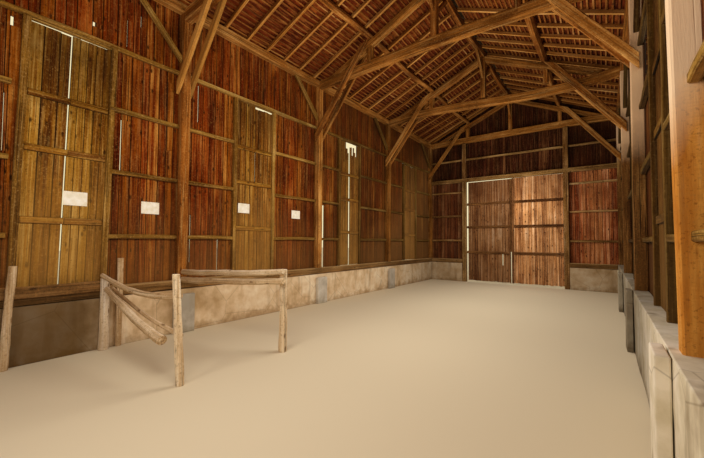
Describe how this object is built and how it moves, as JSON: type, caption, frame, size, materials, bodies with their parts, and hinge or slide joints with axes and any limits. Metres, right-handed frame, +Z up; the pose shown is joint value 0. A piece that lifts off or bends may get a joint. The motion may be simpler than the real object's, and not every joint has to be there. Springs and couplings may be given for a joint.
{
  "type": "timber-framed barn",
  "caption": "Open timber-framed barn: rendered plinth, board-clad walls with tall hatches, king-post trusses clamped by paired struts, tiled gable roof and a pair of hung gable doors.",
  "frame": {"origin": "on the ground at the middle of the plan", "axes": "+X across the barn to the right, +Y along the barn towards the gable with the hung doors, +Z up"},
  "size_m": [7.87, 19.52, 7.9091],
  "materials": {
    "masonry": "rough lime render",
    "frame_timber": "rough-hewn, weathered",
    "wall_boards": "rough-sawn, red-brown stain",
    "hatch_boards": "rough-sawn, weathered",
    "roof_tiles": "matt fired clay on battens",
    "iron": "rusty wrought iron",
    "poles": "barked round poles"
  },
  "bodies": {
    "barn": {"left_plinth": "masonry", "right_plinth": "masonry", "gable_plinths": "masonry", "post_piers": "masonry", "sill_beams": "frame_timber", "left_posts": "frame_timber", "right_posts": "frame_timber", "wall_plates": "frame_timber", "left_wall_rails": "frame_timber", "right_wall_rails": "frame_timber", "hatch_jambs": "frame_timber", "hatch_leaves": "hatch_boards", "hatch_ledges": "hatch_boards", "wall_braces": "frame_timber", "tie_beams": "frame_timber", "king_posts": "frame_timber", "principal_rafters": "frame_timber", "purlin_posts": "frame_timber", "near_clamp_struts": "frame_timber", "far_clamp_struts": "frame_timber", "purlins": "frame_timber", "ridge_beam": "frame_timber", "ridge_braces": "frame_timber", "left_rafters": "frame_timber", "right_rafters": "frame_timber", "verge_rafters": "frame_timber", "left_roof": "roof_tiles", "right_roof": "roof_tiles", "ridge_tiles": "roof_tiles", "left_wall_boards": "wall_boards", "right_wall_boards": "wall_boards", "gable_boards": "wall_boards", "gable_lintels": "frame_timber", "door_posts": "frame_timber", "gable_rails": "frame_timber", "door_pintles": "iron", "pen_posts": "poles", "pen_rails": "poles"},
    "left_door": {"left_door_leaf": "wall_boards", "left_door_ledges": "frame_timber", "left_door_straps": "iron"},
    "right_door": {"right_door_leaf": "wall_boards", "right_door_ledges": "frame_timber", "right_door_straps": "iron"}
  },
  "joints": [
    {"name": "left_door_hinge", "type": "hinge", "parent": "barn", "child": "left_door", "pos_m": [-1.775, 9.607, 2.3], "axis": [0, 0, 1], "range_deg": [0, 100]},
    {"name": "right_door_hinge", "type": "hinge", "parent": "barn", "child": "right_door", "pos_m": [1.775, 9.607, 2.3], "axis": [0, 0, -1], "range_deg": [0, 100]}
  ]
}
